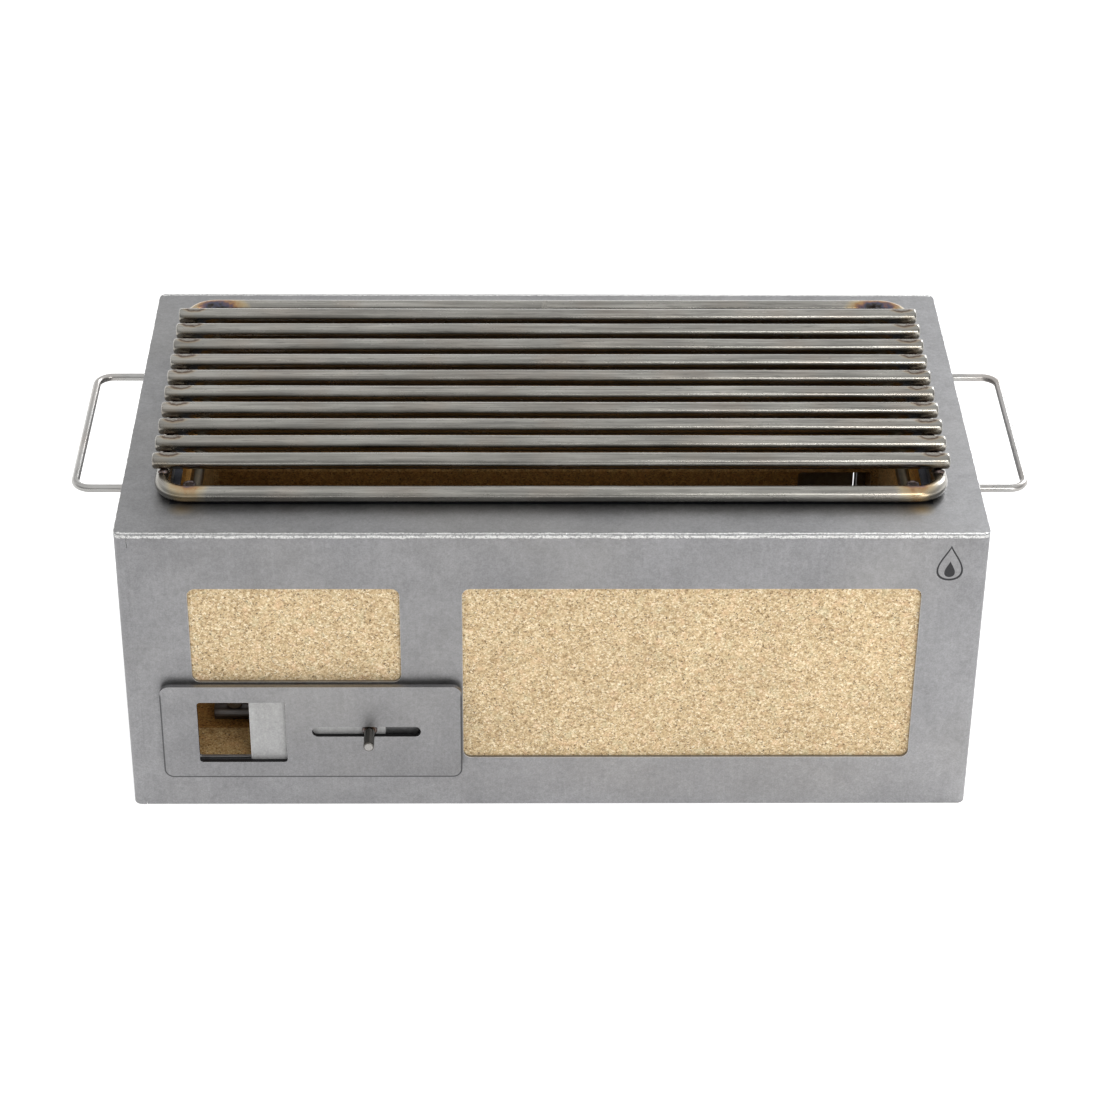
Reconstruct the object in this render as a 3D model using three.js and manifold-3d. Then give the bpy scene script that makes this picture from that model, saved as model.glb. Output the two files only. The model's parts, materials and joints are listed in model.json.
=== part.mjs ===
// A konro: a charcoal box grill. A welded steel casing is lined with vermiculite boards. A vent with a
// sliding damper sits low on the front and another low on the rear, and a loose cooking grate lies on top.
// Millimetres, +Z up. The origin is on the ground under the middle of the casing, and the front faces -Y.
import * as THREE from "three";
import { mergeVertices } from "three/addons/utils/BufferGeometryUtils.js";
import Module from "manifold-3d";

// ---------------------------------------------------------------- driving dimensions

const GAP = 0.3; // left between pieces that lie against each other
const HALF_TURN = Math.PI;
const RIGHT_ANGLE = Math.PI / 2;

const CASING = { width: 520, depth: 300, height: 200, sheet: 2, bend: 5, returnFlange: 8 };
const BASE_PLATE_LIFT = 4; // the base plate is welded in above the walls' lower edges
const TOP_OPENING = { halfWidth: 225, front: -108.6, rear: 118, corner: 5 };

// Openings in the front sheet. The rear sheet has the same ones, turned half round.
const WINDOW_CORNER = 5;
const SMALL_WINDOW = { left: -218.5, right: -91.5, low: 93.5, high: 161.4 };
const LARGE_WINDOW = { left: -54, right: 221.5, low: 36.2, high: 161.4 };
const VENT_HOLE = { left: -217.4, right: -161.4, low: 37.2, high: 82.2, corner: 2 };

const BOARD = { thickness: 29.7, cornerRelief: 4.5 };
const FLOOR_TOP = 36;
const TUNNEL = { left: -223.5, right: -173, low: FLOOR_TOP, high: 79, corner: 3 };

const HANDLE = { rod: 5, reach: 36, halfSpan: 68.8, height: 182, bend: 10 };

// The vent stack, outwards from the wall's face: guide strips with the damper between them, then the cover.
const COVER = { left: -238.7, right: -54.7, low: 25.6, high: 93.7, corner: 6, thickness: 3, standoff: 3 };
const COVER_WINDOW = { left: -216.4, right: -162.4, low: 37.2, high: 82.2, corner: 2 };
const COVER_SLOT = { left: -146.7, right: -79.9, low: 56.5, high: 63.9 };
const GUIDE = { height: 5.5, inset: 3, thickness: 2.4 };
const DAMPER = { width: 83.4, thickness: 2, sideClearance: 0.5, standoff: 0.6, pinFromRight: 9.8 };
const DAMPER_LEFT_FRONT = -185; // partly open
const DAMPER_LEFT_REAR = -215.3; // a millimetre short of closed
const PIN = { diameter: 6.5, tip: 22 }; // the tip is measured from the wall's face

const GRATE = { rod: 10, sideRods: 234.6, frontRod: -112.7, rearRod: 121.2, bend: 15 };
const GRATE_BARS = { count: 10, length: 482, pitch: 20.2 };
const RUNNER = { rod: 8, fromMiddle: 218, drop: 14, top: 206, bend: 8 };

const COAL_SUPPORTS = { count: 3, length: 422, pitch: 108 };
const COAL_BARS = { count: 19, length: 226, pitch: 22 };
const COAL_ROD = 10;

const BAR_END_CHAMFER = 0.12; // as a share of the bar's diameter
const ARC_STEPS = 6; // straight pieces in a quarter turn
const ROD_SIDES = 16;

const frontFace = -CASING.depth / 2;
const endFace = CASING.width / 2;
const topPlateUnderside = CASING.height - CASING.sheet;
const linerLow = BASE_PLATE_LIFT + CASING.sheet + GAP;
const linerHigh = topPlateUnderside - GAP;
const linerOuterX = endFace - CASING.sheet - GAP;
const linerOuterY = CASING.depth / 2 - CASING.sheet - GAP;
const linerInnerX = linerOuterX - BOARD.thickness;
const linerInnerY = linerOuterY - BOARD.thickness;

// ---------------------------------------------------------------- materials

const steel = (color, roughness) => () => new THREE.MeshStandardMaterial({ color, roughness, metalness: 0.9 });
const casingSteel = steel(0x93949a, 0.5);
const damperSteel = steel(0xababab, 0.45);
const rodSteel = steel(0x7d7b72, 0.35);
const wireSteel = steel(0xb9b8b4, 0.25);
const coalSteel = steel(0x4a4744, 0.6);
const vermiculite = () => new THREE.MeshStandardMaterial({ color: 0xcdb184, roughness: 0.95, metalness: 0 });

// ---------------------------------------------------------------- solids

const wasm = await Module();
wasm.setup();

function toManifold(geometry) {
  const bare = geometry.clone();
  bare.deleteAttribute("normal");
  bare.deleteAttribute("uv");
  const merged = mergeVertices(bare);
  return new wasm.Manifold(new wasm.Mesh({
    numProp: 3,
    vertProperties: merged.attributes.position.array,
    triVerts: new Uint32Array(merged.index.array),
  }));
}

function cutFrom(geometry, cutters) {
  const solid = cutters.reduce((left, cutter) => left.subtract(toManifold(cutter)), toManifold(geometry));
  const mesh = solid.getMesh();
  const cut = new THREE.BufferGeometry();
  cut.setAttribute("position", new THREE.BufferAttribute(mesh.vertProperties, 3));
  cut.setIndex(new THREE.BufferAttribute(mesh.triVerts, 1));
  cut.computeVertexNormals();
  return cut;
}

// A rectangle with round corners, as a shape or as a hole.
function roundedRectangle(left, low, right, high, corner, Kind = THREE.Shape) {
  const path = new Kind();
  path.moveTo(left + corner, low);
  path.lineTo(right - corner, low);
  path.absarc(right - corner, low + corner, corner, -RIGHT_ANGLE, 0);
  path.lineTo(right, high - corner);
  path.absarc(right - corner, high - corner, corner, 0, RIGHT_ANGLE);
  path.lineTo(left + corner, high);
  path.absarc(left + corner, high - corner, corner, RIGHT_ANGLE, HALF_TURN);
  path.lineTo(left, low + corner);
  path.absarc(left + corner, low + corner, corner, HALF_TURN, HALF_TURN + RIGHT_ANGLE);
  return path;
}

const holeFrom = (r) => roundedRectangle(r.left, r.low, r.right, r.high, r.corner, THREE.Path);

// A shape drawn on the ground, standing up from one height to another.
function standing(shape, low, high) {
  const settings = { depth: high - low, bevelEnabled: false, curveSegments: ARC_STEPS };
  return new THREE.ExtrudeGeometry(shape, settings).translate(0, 0, low);
}

// A shape drawn as seen from the front (its x and z), filled between two distances from the middle.
function upright(shape, nearY, farY) {
  const settings = { depth: farY - nearY, bevelEnabled: false, curveSegments: ARC_STEPS };
  return new THREE.ExtrudeGeometry(shape, settings).rotateX(RIGHT_ANGLE).translate(0, farY, 0);
}

// A rod's centre line: straight runs joined by arcs, with a sample only where it bends.
class RodLine extends THREE.Curve {
  constructor(corners, bend) {
    super();
    const last = corners.length - 1;
    this.samples = corners.flatMap((corner, i) =>
      i === 0 || i === last ? [corner] : RodLine.bendAt(corners[i - 1], corner, corners[i + 1], bend));
  }

  // Points on the arc that rounds off a right-angled corner.
  static bendAt(before, corner, after, bend) {
    const back = before.clone().sub(corner).setLength(bend);
    const on = after.clone().sub(corner).setLength(bend);
    const centre = corner.clone().add(back).add(on);
    return Array.from({ length: ARC_STEPS + 1 }, (_, i) => {
      const angle = (RIGHT_ANGLE * i) / ARC_STEPS;
      return centre.clone().addScaledVector(on, -Math.cos(angle)).addScaledVector(back, -Math.sin(angle));
    });
  }

  get steps() {
    return this.samples.length - 1;
  }

  getPointAt(t) {
    return this.samples[Math.round(t * this.steps)].clone();
  }

  getTangentAt(t) {
    const at = Math.round(t * this.steps);
    const here = this.samples[at];
    const tangent = new THREE.Vector3();
    if (at > 0) tangent.add(here.clone().sub(this.samples[at - 1]).normalize());
    if (at < this.steps) tangent.add(this.samples[at + 1].clone().sub(here).normalize());
    return tangent.normalize();
  }
}

function bentRod(corners, diameter, bend) {
  const line = new RodLine(corners.map((corner) => new THREE.Vector3(...corner)), bend);
  const section = new THREE.Shape().absarc(0, 0, diameter / 2, 0, 2 * HALF_TURN);
  return new THREE.ExtrudeGeometry(section, {
    steps: line.steps,
    extrudePath: line,
    curveSegments: ROD_SIDES / 2,
  });
}

// A straight round bar with chamfered ends, centred on the origin and lying along Y.
function barAlongY(diameter, length) {
  const radius = diameter / 2;
  const half = length / 2;
  const chamfer = diameter * BAR_END_CHAMFER;
  const profile = [
    [0, -half],
    [radius - chamfer, -half],
    [radius, -half + chamfer],
    [radius, half - chamfer],
    [radius - chamfer, half],
    [0, half],
  ].map(([r, y]) => new THREE.Vector2(r, y));
  return new THREE.LatheGeometry(profile, ROD_SIDES);
}

const barAlongX = (diameter, length) => barAlongY(diameter, length).rotateZ(RIGHT_ANGLE);

function piece(parent, name, geometry, makeMaterial) {
  const mesh = new THREE.Mesh(geometry, makeMaterial());
  mesh.name = name;
  parent.add(mesh);
  return mesh;
}

function turnedGroup(parent, turn) {
  const group = new THREE.Group();
  group.rotation.z = turn;
  parent.add(group);
  return group;
}

// ---------------------------------------------------------------- casing

// One bent sheet, drawn from above: the front, the bend, the right end, the bend and a short return flange.
function wallOutline() {
  const { sheet, bend, returnFlange } = CASING;
  const seam = endFace - returnFlange;
  const bendX = endFace - bend;
  const bendY = -frontFace - bend;
  const outline = new THREE.Shape();
  outline.moveTo(-seam + GAP / 2, frontFace);
  outline.lineTo(bendX, frontFace);
  outline.absarc(bendX, -bendY, bend, -RIGHT_ANGLE, 0);
  outline.lineTo(endFace, bendY);
  outline.absarc(bendX, bendY, bend, 0, RIGHT_ANGLE);
  outline.lineTo(seam + GAP / 2, -frontFace);
  outline.lineTo(seam + GAP / 2, -frontFace - sheet);
  outline.absarc(bendX, bendY, bend - sheet, RIGHT_ANGLE, 0, true);
  outline.lineTo(endFace - sheet, -bendY);
  outline.absarc(bendX, -bendY, bend - sheet, 0, -RIGHT_ANGLE, true);
  outline.lineTo(-seam + GAP / 2, frontFace + sheet);
  return outline;
}

function wallSheet() {
  const past = 1; // the cutters run past both faces of the sheet
  const cutter = (window, corner) => upright(
    roundedRectangle(window.left, window.low, window.right, window.high, corner),
    frontFace - past,
    frontFace + CASING.sheet + past,
  );
  return cutFrom(standing(wallOutline(), 0, topPlateUnderside - GAP), [
    cutter(SMALL_WINDOW, WINDOW_CORNER),
    cutter(LARGE_WINDOW, WINDOW_CORNER),
    cutter(VENT_HOLE, VENT_HOLE.corner),
  ]);
}

function topPlate() {
  const plate = roundedRectangle(-endFace, frontFace, endFace, -frontFace, CASING.bend);
  const { halfWidth, front, rear, corner } = TOP_OPENING;
  plate.holes.push(roundedRectangle(-halfWidth, front, halfWidth, rear, corner, THREE.Path));
  return standing(plate, topPlateUnderside, CASING.height);
}

function basePlate() {
  const corner = CASING.bend - CASING.sheet - GAP;
  const outline = roundedRectangle(-linerOuterX, -linerOuterY, linerOuterX, linerOuterY, corner);
  return standing(outline, BASE_PLATE_LIFT, BASE_PLATE_LIFT + CASING.sheet);
}

function handle() {
  const { rod, reach, halfSpan, height, bend } = HANDLE;
  const foot = endFace + GAP;
  const grip = endFace + reach - rod / 2;
  return bentRod([
    [foot, -halfSpan, height],
    [grip, -halfSpan, height],
    [grip, halfSpan, height],
    [foot, halfSpan, height],
  ], rod, bend);
}

// ---------------------------------------------------------------- lining boards

function longBoard() {
  const halfLength = endFace - BOARD.cornerRelief;
  const outline = new THREE.Shape();
  outline.moveTo(-halfLength, linerLow);
  outline.lineTo(halfLength, linerLow);
  outline.lineTo(halfLength, linerHigh);
  outline.lineTo(-halfLength, linerHigh);
  outline.holes.push(holeFrom(TUNNEL));
  return upright(outline, -linerOuterY, -linerInnerY);
}

function endBoard() {
  const { thickness } = BOARD;
  return new THREE.BoxGeometry(thickness, 2 * (linerInnerY - GAP), linerHigh - linerLow)
    .translate(linerOuterX - thickness / 2, 0, (linerHigh + linerLow) / 2);
}

function floorBoard() {
  return new THREE.BoxGeometry(2 * (linerInnerX - GAP), 2 * (linerInnerY - GAP), FLOOR_TOP - linerLow)
    .translate(0, 0, (FLOOR_TOP + linerLow) / 2);
}

// ---------------------------------------------------------------- vents

function ventCover() {
  const outline = roundedRectangle(COVER.left, COVER.low, COVER.right, COVER.high, COVER.corner);
  const slotEnd = (COVER_SLOT.high - COVER_SLOT.low) / 2;
  outline.holes.push(holeFrom(COVER_WINDOW), holeFrom({ ...COVER_SLOT, corner: slotEnd }));
  const back = frontFace - COVER.standoff;
  return upright(outline, back - COVER.thickness, back);
}

function guideStrip(low) {
  const { height, inset, thickness } = GUIDE;
  const length = COVER.right - COVER.left - 2 * inset;
  return new THREE.BoxGeometry(length, thickness, height)
    .translate((COVER.left + COVER.right) / 2, frontFace - GAP - thickness / 2, low + height / 2);
}

function damperPlate(left) {
  const channelLow = COVER.low + GUIDE.inset + GUIDE.height + DAMPER.sideClearance;
  const channelHigh = COVER.high - GUIDE.inset - GUIDE.height - DAMPER.sideClearance;
  return new THREE.BoxGeometry(DAMPER.width, DAMPER.thickness, channelHigh - channelLow).translate(
    left + DAMPER.width / 2,
    frontFace - DAMPER.standoff - DAMPER.thickness / 2,
    (channelLow + channelHigh) / 2,
  );
}

function damperPin(left) {
  const root = DAMPER.standoff + DAMPER.thickness + GAP;
  const slotMiddle = (COVER_SLOT.low + COVER_SLOT.high) / 2;
  return barAlongY(PIN.diameter, PIN.tip - root)
    .translate(left + DAMPER.width - DAMPER.pinFromRight, frontFace - (PIN.tip + root) / 2, slotMiddle);
}

function addVent(side, prefix, damperLeft) {
  piece(side, `${prefix}_vent_cover`, ventCover(), casingSteel);
  piece(side, `${prefix}_guide_upper`, guideStrip(COVER.high - GUIDE.inset - GUIDE.height), casingSteel);
  piece(side, `${prefix}_guide_lower`, guideStrip(COVER.low + GUIDE.inset), casingSteel);
  piece(side, `${prefix}_damper_plate`, damperPlate(damperLeft), damperSteel);
  piece(side, `${prefix}_damper_pin`, damperPin(damperLeft), damperSteel);
}

// ---------------------------------------------------------------- grates

// The frame is bent from one rod. Its ends meet in the middle of the rear side.
function grateFrame(height) {
  const { sideRods, frontRod, rearRod, rod, bend } = GRATE;
  return bentRod([
    [GAP / 2, rearRod, height],
    [sideRods, rearRod, height],
    [sideRods, frontRod, height],
    [-sideRods, frontRod, height],
    [-sideRods, rearRod, height],
    [-GAP / 2, rearRod, height],
  ], rod, bend);
}

// Equal bars side by side, spread evenly about the middle. axis is the one they are spread along.
function addBars(parent, prefix, bars, axis, makeBar, height, material) {
  for (let i = 0; i < bars.count; i += 1) {
    const mesh = piece(parent, `${prefix}_${String(i + 1).padStart(2, "0")}`, makeBar(), material);
    mesh.position[axis] = (i - (bars.count - 1) / 2) * bars.pitch;
    mesh.position.z = height;
  }
}

// A rod that hangs inside the opening. Its ends are welded into the inside of the frame's bends.
function grateRunner(x) {
  const { frontRod, rearRod, sideRods, rod, bend } = GRATE;
  const seat = bend - (rod + RUNNER.rod) / 2 - GAP; // from the bend's centre to the runner's
  const across = RUNNER.fromMiddle - (sideRods - bend);
  const along = bend - Math.sqrt(seat ** 2 - across ** 2);
  const run = CASING.height - RUNNER.drop;
  return bentRod([
    [x, frontRod + along, RUNNER.top],
    [x, frontRod + along, run],
    [x, rearRod - along, run],
    [x, rearRod - along, RUNNER.top],
  ], RUNNER.rod, RUNNER.bend);
}

function addCookingGrate(parent) {
  const frameHeight = CASING.height + GAP + GRATE.rod / 2;
  const bar = () => barAlongX(GRATE.rod, GRATE_BARS.length);
  piece(parent, "grate_frame", grateFrame(frameHeight), rodSteel);
  addBars(parent, "grate_bar", GRATE_BARS, "y", bar, frameHeight + GRATE.rod, rodSteel);
  piece(parent, "grate_runner_left", grateRunner(-RUNNER.fromMiddle), rodSteel);
  piece(parent, "grate_runner_right", grateRunner(RUNNER.fromMiddle), rodSteel);
}

// Supports lie on the floor board from end to end, and the bars lie across them.
function addCoalGrate(parent) {
  const supportHeight = FLOOR_TOP + GAP + COAL_ROD / 2;
  const support = () => barAlongX(COAL_ROD, COAL_SUPPORTS.length);
  const bar = () => barAlongY(COAL_ROD, COAL_BARS.length);
  addBars(parent, "coal_grate_support", COAL_SUPPORTS, "y", support, supportHeight, coalSteel);
  addBars(parent, "coal_grate_bar", COAL_BARS, "x", bar, supportHeight + COAL_ROD + GAP, coalSteel);
}

// ---------------------------------------------------------------- assembly

const grill = new THREE.Group();
const sides = [
  { prefix: "front", end: "right", turn: 0, damperLeft: DAMPER_LEFT_FRONT },
  { prefix: "rear", end: "left", turn: HALF_TURN, damperLeft: DAMPER_LEFT_REAR },
];
for (const { prefix, end, turn, damperLeft } of sides) {
  const side = turnedGroup(grill, turn);
  piece(side, `${prefix}_wall_sheet`, wallSheet(), casingSteel);
  piece(side, `liner_board_${prefix}`, longBoard(), vermiculite);
  piece(side, `liner_board_${end}`, endBoard(), vermiculite);
  piece(side, `handle_${end}`, handle(), wireSteel);
  addVent(side, prefix, damperLeft);
}
piece(grill, "top_plate", topPlate(), casingSteel);
piece(grill, "base_plate", basePlate(), casingSteel);
piece(grill, "liner_board_floor", floorBoard(), vermiculite);
addCookingGrate(grill);
addCoalGrate(grill);

export default grill;
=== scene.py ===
"""The looks of a konro grill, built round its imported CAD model. Metres, +Z up; the front faces -Y."""
import json
import math

import bmesh
import bpy
from mathutils import Matrix, Vector, noise

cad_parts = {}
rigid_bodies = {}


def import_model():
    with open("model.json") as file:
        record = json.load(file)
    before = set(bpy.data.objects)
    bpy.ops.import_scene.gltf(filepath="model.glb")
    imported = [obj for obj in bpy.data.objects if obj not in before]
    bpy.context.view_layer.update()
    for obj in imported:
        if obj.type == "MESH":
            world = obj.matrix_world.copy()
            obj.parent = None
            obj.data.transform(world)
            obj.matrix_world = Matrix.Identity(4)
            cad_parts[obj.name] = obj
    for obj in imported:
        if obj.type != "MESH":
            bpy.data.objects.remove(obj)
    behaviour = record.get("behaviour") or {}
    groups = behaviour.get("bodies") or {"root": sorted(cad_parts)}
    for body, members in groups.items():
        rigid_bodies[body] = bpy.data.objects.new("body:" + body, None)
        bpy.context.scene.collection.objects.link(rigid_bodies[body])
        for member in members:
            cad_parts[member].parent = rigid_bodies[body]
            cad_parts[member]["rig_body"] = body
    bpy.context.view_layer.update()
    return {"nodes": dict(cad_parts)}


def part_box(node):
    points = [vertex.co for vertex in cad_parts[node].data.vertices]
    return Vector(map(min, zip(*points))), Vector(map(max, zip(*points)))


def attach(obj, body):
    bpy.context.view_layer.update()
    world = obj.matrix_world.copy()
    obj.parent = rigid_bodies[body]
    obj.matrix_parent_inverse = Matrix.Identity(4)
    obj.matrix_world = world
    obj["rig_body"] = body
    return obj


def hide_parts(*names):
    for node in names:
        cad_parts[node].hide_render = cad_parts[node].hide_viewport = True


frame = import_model()

MM = 0.001
NODES = frame["nodes"]
EAST, NORTH, UP = Vector((1, 0, 0)), Vector((0, 1, 0)), Vector((0, 0, 1))

# ---------------------------------------------------------------- camera, light and floor

CAMERA = {"place": (-0.02725, -1.66887, 1.17463), "lens": 99.96, "sensor": 36}
CAMERA_TURN = {"yaw": 0.9684, "pitch": 32.9685, "roll": 0.5173}  # right, down and clockwise, in degrees
FLOOR_SIZE = 12

# name: place, size (width, height), power in watts, colour. Each light faces AIM.
AIM = Vector((0, 0, 0.1))
LIGHTS = {
    "front_right": ((0.95, -2.7, 1.55), (0.9, 0.45), 21, (1.0, 0.99, 0.97)),
    "low_right": ((1.4, -2.2, 0.35), (1.0, 0.6), 9, (1.0, 0.99, 0.98)),
    "rear_right": ((1.9, 2.1, 1.7), (1.6, 1.2), 80, (0.97, 0.98, 1.0)),
}
# The studio's brightness near the ground in front, at the horizon, higher up behind, and straight overhead.
SKY_FRONT, SKY_HORIZON, SKY_BEHIND, SKY_OVERHEAD = 0.5, 2.0, 1.05, 1.15


def make_camera():
    data = bpy.data.cameras.new("camera")
    data.lens = CAMERA["lens"]
    data.sensor_width = CAMERA["sensor"]
    camera = bpy.data.objects.new("camera", data)
    bpy.context.scene.collection.objects.link(camera)
    yaw, pitch, roll = (math.radians(CAMERA_TURN[k]) for k in ("yaw", "pitch", "roll"))
    turn = Matrix.Rotation(-yaw, 4, "Z") @ Matrix.Rotation(math.pi / 2 - pitch, 4, "X")
    turn = turn @ Matrix.Rotation(roll, 4, "Z")
    camera.matrix_world = Matrix.Translation(CAMERA["place"]) @ turn
    bpy.context.scene.camera = camera


def make_light(name, place, size, power, colour):
    data = bpy.data.lights.new(name, "AREA")
    data.shape = "RECTANGLE"
    data.size, data.size_y = size
    data.energy = power
    data.color = colour
    light = bpy.data.objects.new(name, data)
    bpy.context.scene.collection.objects.link(light)
    light.location = place
    light.rotation_euler = (AIM - Vector(place)).to_track_quat("-Z", "Y").to_euler()


def make_sky():
    """A pale studio: brightest overhead, and brighter behind the object than in front."""
    world = bpy.data.worlds.new("studio")
    world.use_nodes = True
    bpy.context.scene.world = world
    tree = world.node_tree
    direction = tree.nodes.new("ShaderNodeTexCoord")
    split = tree.nodes.new("ShaderNodeSeparateXYZ")
    tree.links.new(direction.outputs["Generated"], split.inputs[0])

    def between(value, limits, to):
        made = tree.nodes.new("ShaderNodeMapRange")
        made.interpolation_type = "SMOOTHSTEP"
        tree.links.new(split.outputs[value], made.inputs["Value"])
        for socket, number in zip(("From Min", "From Max", "To Min", "To Max"), limits + to):
            made.inputs[socket].default_value = number
        return made.outputs["Result"]

    def blend(factor, a, b):
        made = tree.nodes.new("ShaderNodeMix")
        for socket, value in (("Factor", factor), ("A", a), ("B", b)):
            if isinstance(value, bpy.types.NodeSocket):
                tree.links.new(value, made.inputs[socket])
            else:
                made.inputs[socket].default_value = value
        return made.outputs["Result"]

    behind = between("Z", (0.05, 0.35), (SKY_HORIZON, SKY_BEHIND))
    low = blend(between("Y", (-0.5, 0.5), (0.0, 1.0)), SKY_FRONT, behind)
    sky = blend(between("Z", (0.3, 0.9), (0.0, 1.0)), low, SKY_OVERHEAD)
    background = tree.nodes["Background"]
    background.inputs["Color"].default_value = (1, 1, 1, 1)
    tree.links.new(sky, background.inputs["Strength"])


# ---------------------------------------------------------------- material nodes

class Look:
    """A material and its Principled shader, with one short call for each node."""

    def __init__(self, name, **shader):
        self.material = bpy.data.materials.new(name)
        self.material.use_nodes = True
        self.tree = self.material.node_tree
        self.shader = self.tree.nodes["Principled BSDF"]
        for socket, value in shader.items():
            self.shader.inputs[socket.replace("_", " ")].default_value = value
        self.place = self.node("TexCoord").outputs["Object"]

    def node(self, kind, inputs=None, **settings):
        made = self.tree.nodes.new("ShaderNode" + kind)
        for setting, value in settings.items():
            setattr(made, setting, value)
        for socket, value in (inputs or {}).items():
            self.feed(made.inputs[socket], value)
        return made

    def feed(self, socket, value):
        if isinstance(value, bpy.types.NodeSocket):
            self.tree.links.new(value, socket)
        elif isinstance(value, tuple) and len(value) == 3 and len(socket.default_value) == 4:
            socket.default_value = (*value, 1)
        else:
            socket.default_value = value

    def attribute(self, name, output):
        return self.node("Attribute", attribute_name=name).outputs[output]

    def scaled(self, place, scale, offset=(0, 0, 0)):
        return self.node("Mapping", {"Vector": place, "Scale": scale, "Location": offset}).outputs[0]

    def math(self, operation, a, b=0.0, c=0.0, clamp=False):
        inputs = {0: a, 1: b, 2: c}
        return self.node("Math", inputs, operation=operation, use_clamp=clamp).outputs[0]

    def noise(self, place, size, detail=2.0, roughness=0.5, distortion=0.0, seed=None):
        """Smooth noise from 0 to 1, with lumps about size metres across."""
        inputs = {"Vector": place, "Scale": 1 / size, "Detail": detail, "Roughness": roughness}
        inputs["Distortion"] = distortion
        kind = "3D"
        if seed is not None:
            kind = "4D"
            inputs["W"] = seed
        return self.node("TexNoise", inputs, noise_dimensions=kind).outputs["Fac"]

    def cells(self, place, size, feature="F1", output="Color"):
        inputs = {"Vector": place, "Scale": 1 / size, "Randomness": 1.0}
        return self.node("TexVoronoi", inputs, feature=feature).outputs[output]

    def spread(self, value, low, high, to_low=0.0, to_high=1.0):
        """Maps low..high onto to_low..to_high, held at both ends."""
        inputs = {"Value": value, "From Min": low, "From Max": high, "To Min": to_low, "To Max": to_high}
        return self.node("MapRange", inputs, clamp=True).outputs["Result"]

    def ramp(self, value, stops, interpolation="LINEAR"):
        """A colour ramp from (position, colour) stops. A colour's fourth number is its strength."""
        made = self.node("ValToRGB", {"Fac": value})
        made.color_ramp.interpolation = interpolation
        elements = made.color_ramp.elements
        while len(elements) < len(stops):
            elements.new(0.5)
        for element, (position, colour) in zip(elements, stops):
            element.position = position
            element.color = colour if len(colour) == 4 else (*colour, 1)
        return made

    def mix(self, amount, a, b, blend="MIX"):
        made = self.node("Mix", data_type="RGBA", blend_type=blend)
        self.feed(made.inputs["Factor"], amount)
        self.feed(made.inputs["A"], a)
        self.feed(made.inputs["B"], b)
        return made.outputs["Result"]

    def tone(self, colour, value, low, high, depth):
        """Multiplies a colour by a grey from 1 - depth to 1 + depth, as value goes from low to high."""
        grey = self.spread(value, low, high, 1 - depth, 1 + depth)
        return self.node("VectorMath", {0: colour, 1: self.grey(grey)}, operation="MULTIPLY").outputs[0]

    def grey(self, value):
        return self.node("CombineXYZ", {"X": value, "Y": value, "Z": value}).outputs[0]

    def flat(self, colour):
        """A colour as the start of a chain of nodes."""
        return self.ramp(self.noise(self.place, 1.0), [(0.0, colour), (1.0, colour)]).outputs["Color"]

    def bump(self, height, strength, depth, below=None):
        inputs = {"Height": height, "Strength": strength, "Distance": depth}
        if below is not None:
            inputs["Normal"] = below
        return self.node("Bump", inputs).outputs["Normal"]

    def near(self, point, radius, stretch=(1, 1, 1), place=None):
        """1 at a point and 0 at radius metres from it and beyond. The point's x counts on both sides."""
        both = self.mirrored_x(self.place if place is None else place)
        away = self.node("VectorMath", {0: both, 1: tuple(point)}, operation="SUBTRACT").outputs[0]
        shaped = self.node("VectorMath", {0: away, 1: stretch}, operation="MULTIPLY").outputs[0]
        length = self.node("VectorMath", {0: shaped}, operation="LENGTH").outputs["Value"]
        return self.spread(length, 0.0, radius, 1.0, 0.0)

    def inside(self, limits, axes="XYZ"):
        """1 where each named coordinate, taken without its sign, is under its limit."""
        parts = self.node("SeparateXYZ", {0: self.place}).outputs
        found = None
        for axis, limit in zip(axes, limits):
            under = self.math("LESS_THAN", self.math("ABSOLUTE", parts[axis]), limit)
            found = under if found is None else self.math("MULTIPLY", found, under)
        return found

    def along_outline(self, low, high, corner, width):
        """1 within width of an upright plate's rounded outline and past it, except along its top."""
        middle, half = (low + high) / 2, (high - low) / 2
        inner = Vector((half.x - corner, 1, half.z - corner))
        away = self.node("VectorMath", {0: self.place, 1: tuple(middle)}, operation="SUBTRACT").outputs[0]
        either = self.node("VectorMath", {0: away}, operation="ABSOLUTE").outputs[0]
        past = self.node("VectorMath", {0: either, 1: tuple(inner)}, operation="SUBTRACT").outputs[0]
        held = self.node("VectorMath", {0: past, 1: (0, 0, 0)}, operation="MAXIMUM").outputs[0]
        length = self.node("VectorMath", {0: held}, operation="LENGTH").outputs["Value"]
        line = self.spread(length, corner - width - 0.3 * MM, corner - width + 0.1 * MM)
        height = self.node("SeparateXYZ", {0: self.place}).outputs["Z"]
        return self.math("MULTIPLY", line, self.spread(height, high.z - 7 * MM, high.z - 4 * MM, 1.0, 0.0))

    def mirrored_x(self, place):
        parts = self.node("SeparateXYZ", {0: place}).outputs
        return self.node("CombineXYZ", {"X": self.math("ABSOLUTE", parts["X"]), "Y": parts["Y"],
                                        "Z": parts["Z"]}).outputs[0]

    def finish(self, colour, roughness=None, normal=None):
        self.feed(self.shader.inputs["Base Color"], colour)
        if roughness is not None:
            self.feed(self.shader.inputs["Roughness"], roughness)
        if normal is not None:
            self.feed(self.shader.inputs["Normal"], normal)
        return self.material


# Colours that hot steel takes on in air, from barely warmed to burned. The fourth number is how much shows.
HEAT_COLOURS = [
    (0.00, (0.50, 0.42, 0.26, 0.0)),
    (0.22, (0.46, 0.34, 0.16, 0.45)),
    (0.42, (0.32, 0.17, 0.06, 0.8)),
    (0.56, (0.15, 0.075, 0.07, 0.85)),
    (0.70, (0.055, 0.06, 0.10, 0.9)),
    (0.84, (0.05, 0.045, 0.045, 0.95)),
    (1.00, (0.018, 0.014, 0.012, 1.0)),
]


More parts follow.
